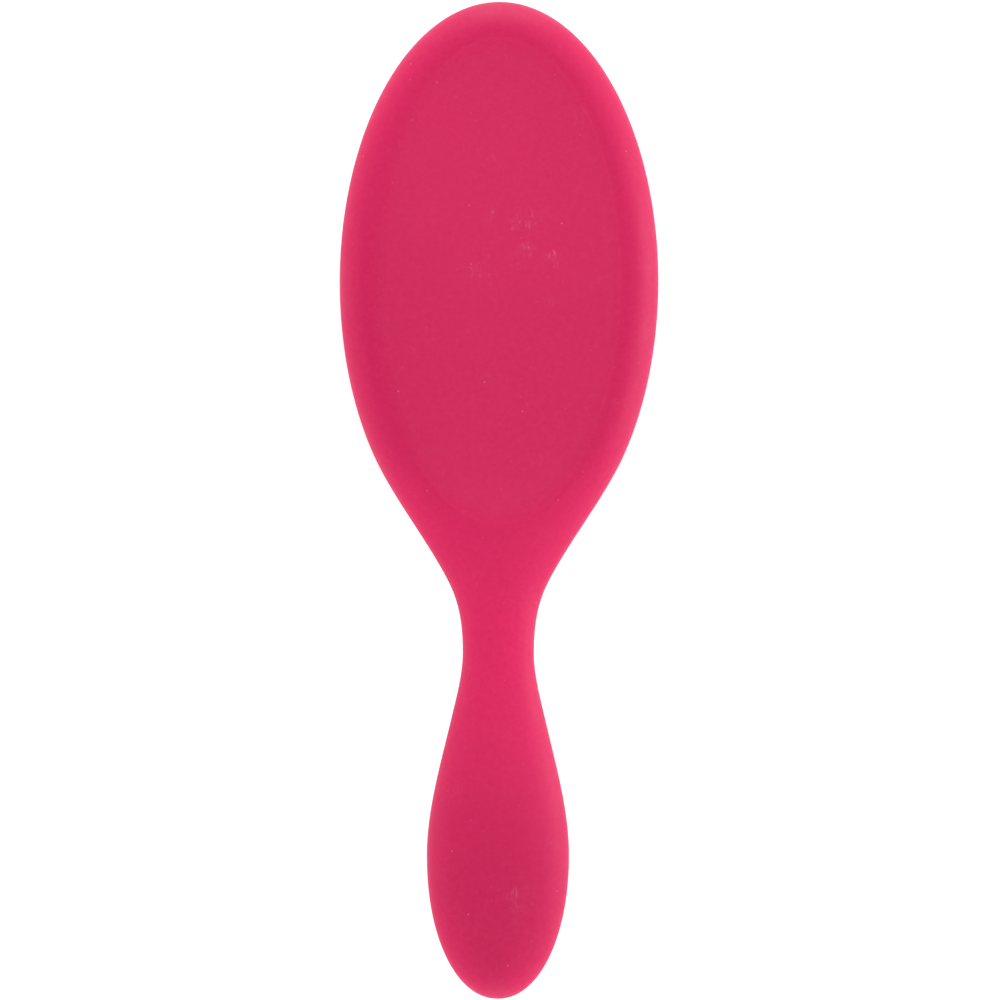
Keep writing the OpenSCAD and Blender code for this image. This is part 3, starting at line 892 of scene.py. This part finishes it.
def soft_touch():
    """Hot pink plastic under a matt rubbery coat, with fine grain, faint handling marks and lint."""
    made, tree, shader = material("soft_touch_pink")
    coords = object_coords(tree)
    cloudy = noise(tree, coords, *BODY_CLOUDS)
    grain = noise(tree, coords, *BODY_FINE)
    specks = lint(tree, coords, *COARSE_LINT)
    seam = parting_line(tree, split_coords(tree, coords)["Z"])
    feed(tree, shader.inputs["Base Color"], body_colour(tree, coords, grain, specks, seam))
    feed(tree, shader.inputs["Roughness"], remap(tree, cloudy, NOISE_BAND, BODY_ROUGHNESS))
    shader.inputs["Specular IOR Level"].default_value = 0.14
    shader.inputs["Sheen Weight"].default_value = 0.07
    shader.inputs["Sheen Roughness"].default_value = 0.5
    shader.inputs["Sheen Tint"].default_value = (*SHEEN_TINT, 1)
    normal = bump(tree, grain, *FINE_BUMP)
    normal = bump(tree, cloudy, *CLOUD_BUMP, normal)
    normal = bump(tree, specks, *SPECK_BUMP, normal)
    groove = math_node(tree, "MULTIPLY", seam, -1)
    feed(tree, shader.inputs["Normal"], bump(tree, groove, *SEAM_BUMP, normal))
    return made


def cushion_rubber():
    """Pink rubber of the cushion: even, slightly satin, with a fine moulded grain."""
    made, tree, shader = material("cushion_rubber")
    coords = object_coords(tree)
    broad = noise(tree, coords, *RUBBER_BROAD)
    grain = noise(tree, coords, *RUBBER_FINE)
    colour = mix(tree, remap(tree, broad, NOISE_BAND), RUBBER_DEEP, RUBBER_BRIGHT)
    feed(tree, shader.inputs["Base Color"], colour)
    feed(tree, shader.inputs["Roughness"], remap(tree, broad, NOISE_BAND, RUBBER_ROUGHNESS))
    shader.inputs["Specular IOR Level"].default_value = 0.35
    shader.inputs["Subsurface Weight"].default_value = 0.08
    shader.inputs["Subsurface Radius"].default_value = (2 * MM, 0.6 * MM, 0.8 * MM)
    shader.inputs["Subsurface Scale"].default_value = 0.5
    feed(tree, shader.inputs["Normal"], bump(tree, grain, *RUBBER_BUMP))
    return made


def pin_nylon():
    """Glossy pink nylon of the pins, a touch lighter towards the ball tips."""
    made, tree, shader = material("pin_nylon")
    coords = object_coords(tree)
    along = remap(tree, split_coords(tree, coords)["Z"], (0, CROWN_Z), (1, 0))
    mottled = noise(tree, coords, *NYLON_MOTTLE)
    colour = mix(tree, along, PIN_ROOT, PIN_TIP)
    colour = mix(tree, remap(tree, mottled, NOISE_BAND, (0, NYLON_MOTTLE_SHARE)), colour, PIN_TIP)
    feed(tree, shader.inputs["Base Color"], colour)
    feed(tree, shader.inputs["Roughness"], remap(tree, mottled, NOISE_BAND, NYLON_ROUGHNESS))
    shader.inputs["Subsurface Weight"].default_value = 0.15
    shader.inputs["Subsurface Radius"].default_value = (1 * MM, 0.4 * MM, 0.5 * MM)
    shader.inputs["Subsurface Scale"].default_value = 0.5
    feed(tree, shader.inputs["Normal"], bump(tree, mottled, *NYLON_BUMP))
    return made


def floor_material():
    """Plain near-white floor, clear from below so that the brush can be looked at from there."""
    made, tree, shader = material("floor_white")
    shader.inputs["Base Color"].default_value = (*FLOOR_COLOUR, 1)
    shader.inputs["Roughness"].default_value = 0.9
    shader.inputs["Specular IOR Level"].default_value = 0.1
    shader.inputs["Emission Color"].default_value = (*WHITE, 1)
    shader.inputs["Emission Strength"].default_value = FLOOR_GLOW
    clear = tree.nodes.new("ShaderNodeBsdfTransparent")
    below = tree.nodes.new("ShaderNodeNewGeometry").outputs["Backfacing"]
    blend = tree.nodes.new("ShaderNodeMixShader")
    for socket, output in zip(blend.inputs, (below, shader.outputs[0], clear.outputs[0])):
        tree.links.new(output, socket)
    tree.links.new(blend.outputs[0], tree.nodes["Material Output"].inputs["Surface"])
    return made


def soft_box(name, place, aim, size, spread, power, kind):
    """A rectangular area light that the camera doesn't see, for shading or for shine."""
    data = bpy.data.lights.new(name, "AREA")
    data.shape = "RECTANGLE"
    data.size, data.size_y = size
    data.energy = power
    data.spread = math.radians(spread)
    lamp = bpy.data.objects.new(name, data)
    bpy.context.scene.collection.objects.link(lamp)
    lamp.location = place
    lamp.rotation_mode = "QUATERNION"
    lamp.rotation_quaternion = (Vector(aim) - Vector(place)).to_track_quat("-Z", "Y")
    lamp.visible_camera = False
    lamp.visible_glossy = kind != SHADING
    lamp.visible_diffuse = kind != SHINE


def stage():
    """Floor, world and lights."""
    side = FLOOR_HALF_SIDE
    corners = [(-side, -side, 0), (side, -side, 0), (side, side, 0), (-side, side, 0)]
    floor = mesh_object("floor", corners, [(0, 1, 2, 3)], smooth=False)
    floor.data.materials.append(floor_material())
    world = bpy.data.worlds.new("studio")
    bpy.context.scene.world = world
    world.use_nodes = True
    background = world.node_tree.nodes["Background"]
    background.inputs["Color"].default_value = (*WHITE, 1)
    background.inputs["Strength"].default_value = WORLD_LIGHT
    for row in LIGHTS:
        soft_box(*row)


def camera():
    """A long lens straight above the brush, turned by the tenth of a degree that the photo shows."""
    data = bpy.data.cameras.new("camera")
    data.sensor_width = SENSOR_WIDTH
    data.lens = SENSOR_WIDTH * CAMERA_DISTANCE / PICTURE_WIDTH
    data.clip_start, data.clip_end = CAMERA_RANGE
    made = bpy.data.objects.new("camera", data)
    bpy.context.scene.collection.objects.link(made)
    made.location = (*CAMERA_OFFSET, PART_Z + CAMERA_DISTANCE)
    made.rotation_euler = (0, 0, CAMERA_TURN)
    bpy.context.scene.camera = made


def finish_piece(obj, paint, body, slot, *nodes):
    """Gives a piece its material, the solids that it stands for and its body; the slot is not used."""
    obj.data.materials.append(paint)
    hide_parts(*nodes)
    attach(obj, body)


def build():
    """The two halves of the body, the cushion and the rows of pins."""
    body_paint, rubber, nylon = soft_touch(), cushion_rubber(), pin_nylon()
    back = shell("body_back", BACK, cut=False)
    join_pieces(back, [back_panel()])
    back.data.set_sharp_from_angle(angle=SHELL_SHARP)
    finish_piece(back, body_paint, "brush_body", "soft_touch_body", "back_shell")
    front = shell("body_front", FRONT, cut=True)
    finish_piece(front, body_paint, "brush_body", "soft_touch_body", "front_shell")
    pad = cushion_piece()
    finish_piece(pad, rubber, "brush_body", "cushion_rubber", "cushion")
    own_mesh(pad)
    for index, (y, places) in enumerate(pin_places(), start=1):
        row = pin_row(index, y, places)
        finish_piece(row, nylon, "pin_bed", "pin_nylon", f"pin_row_{index:02d}")


bpy.context.scene.view_settings.view_transform = "Standard"
stage()
camera()
build()
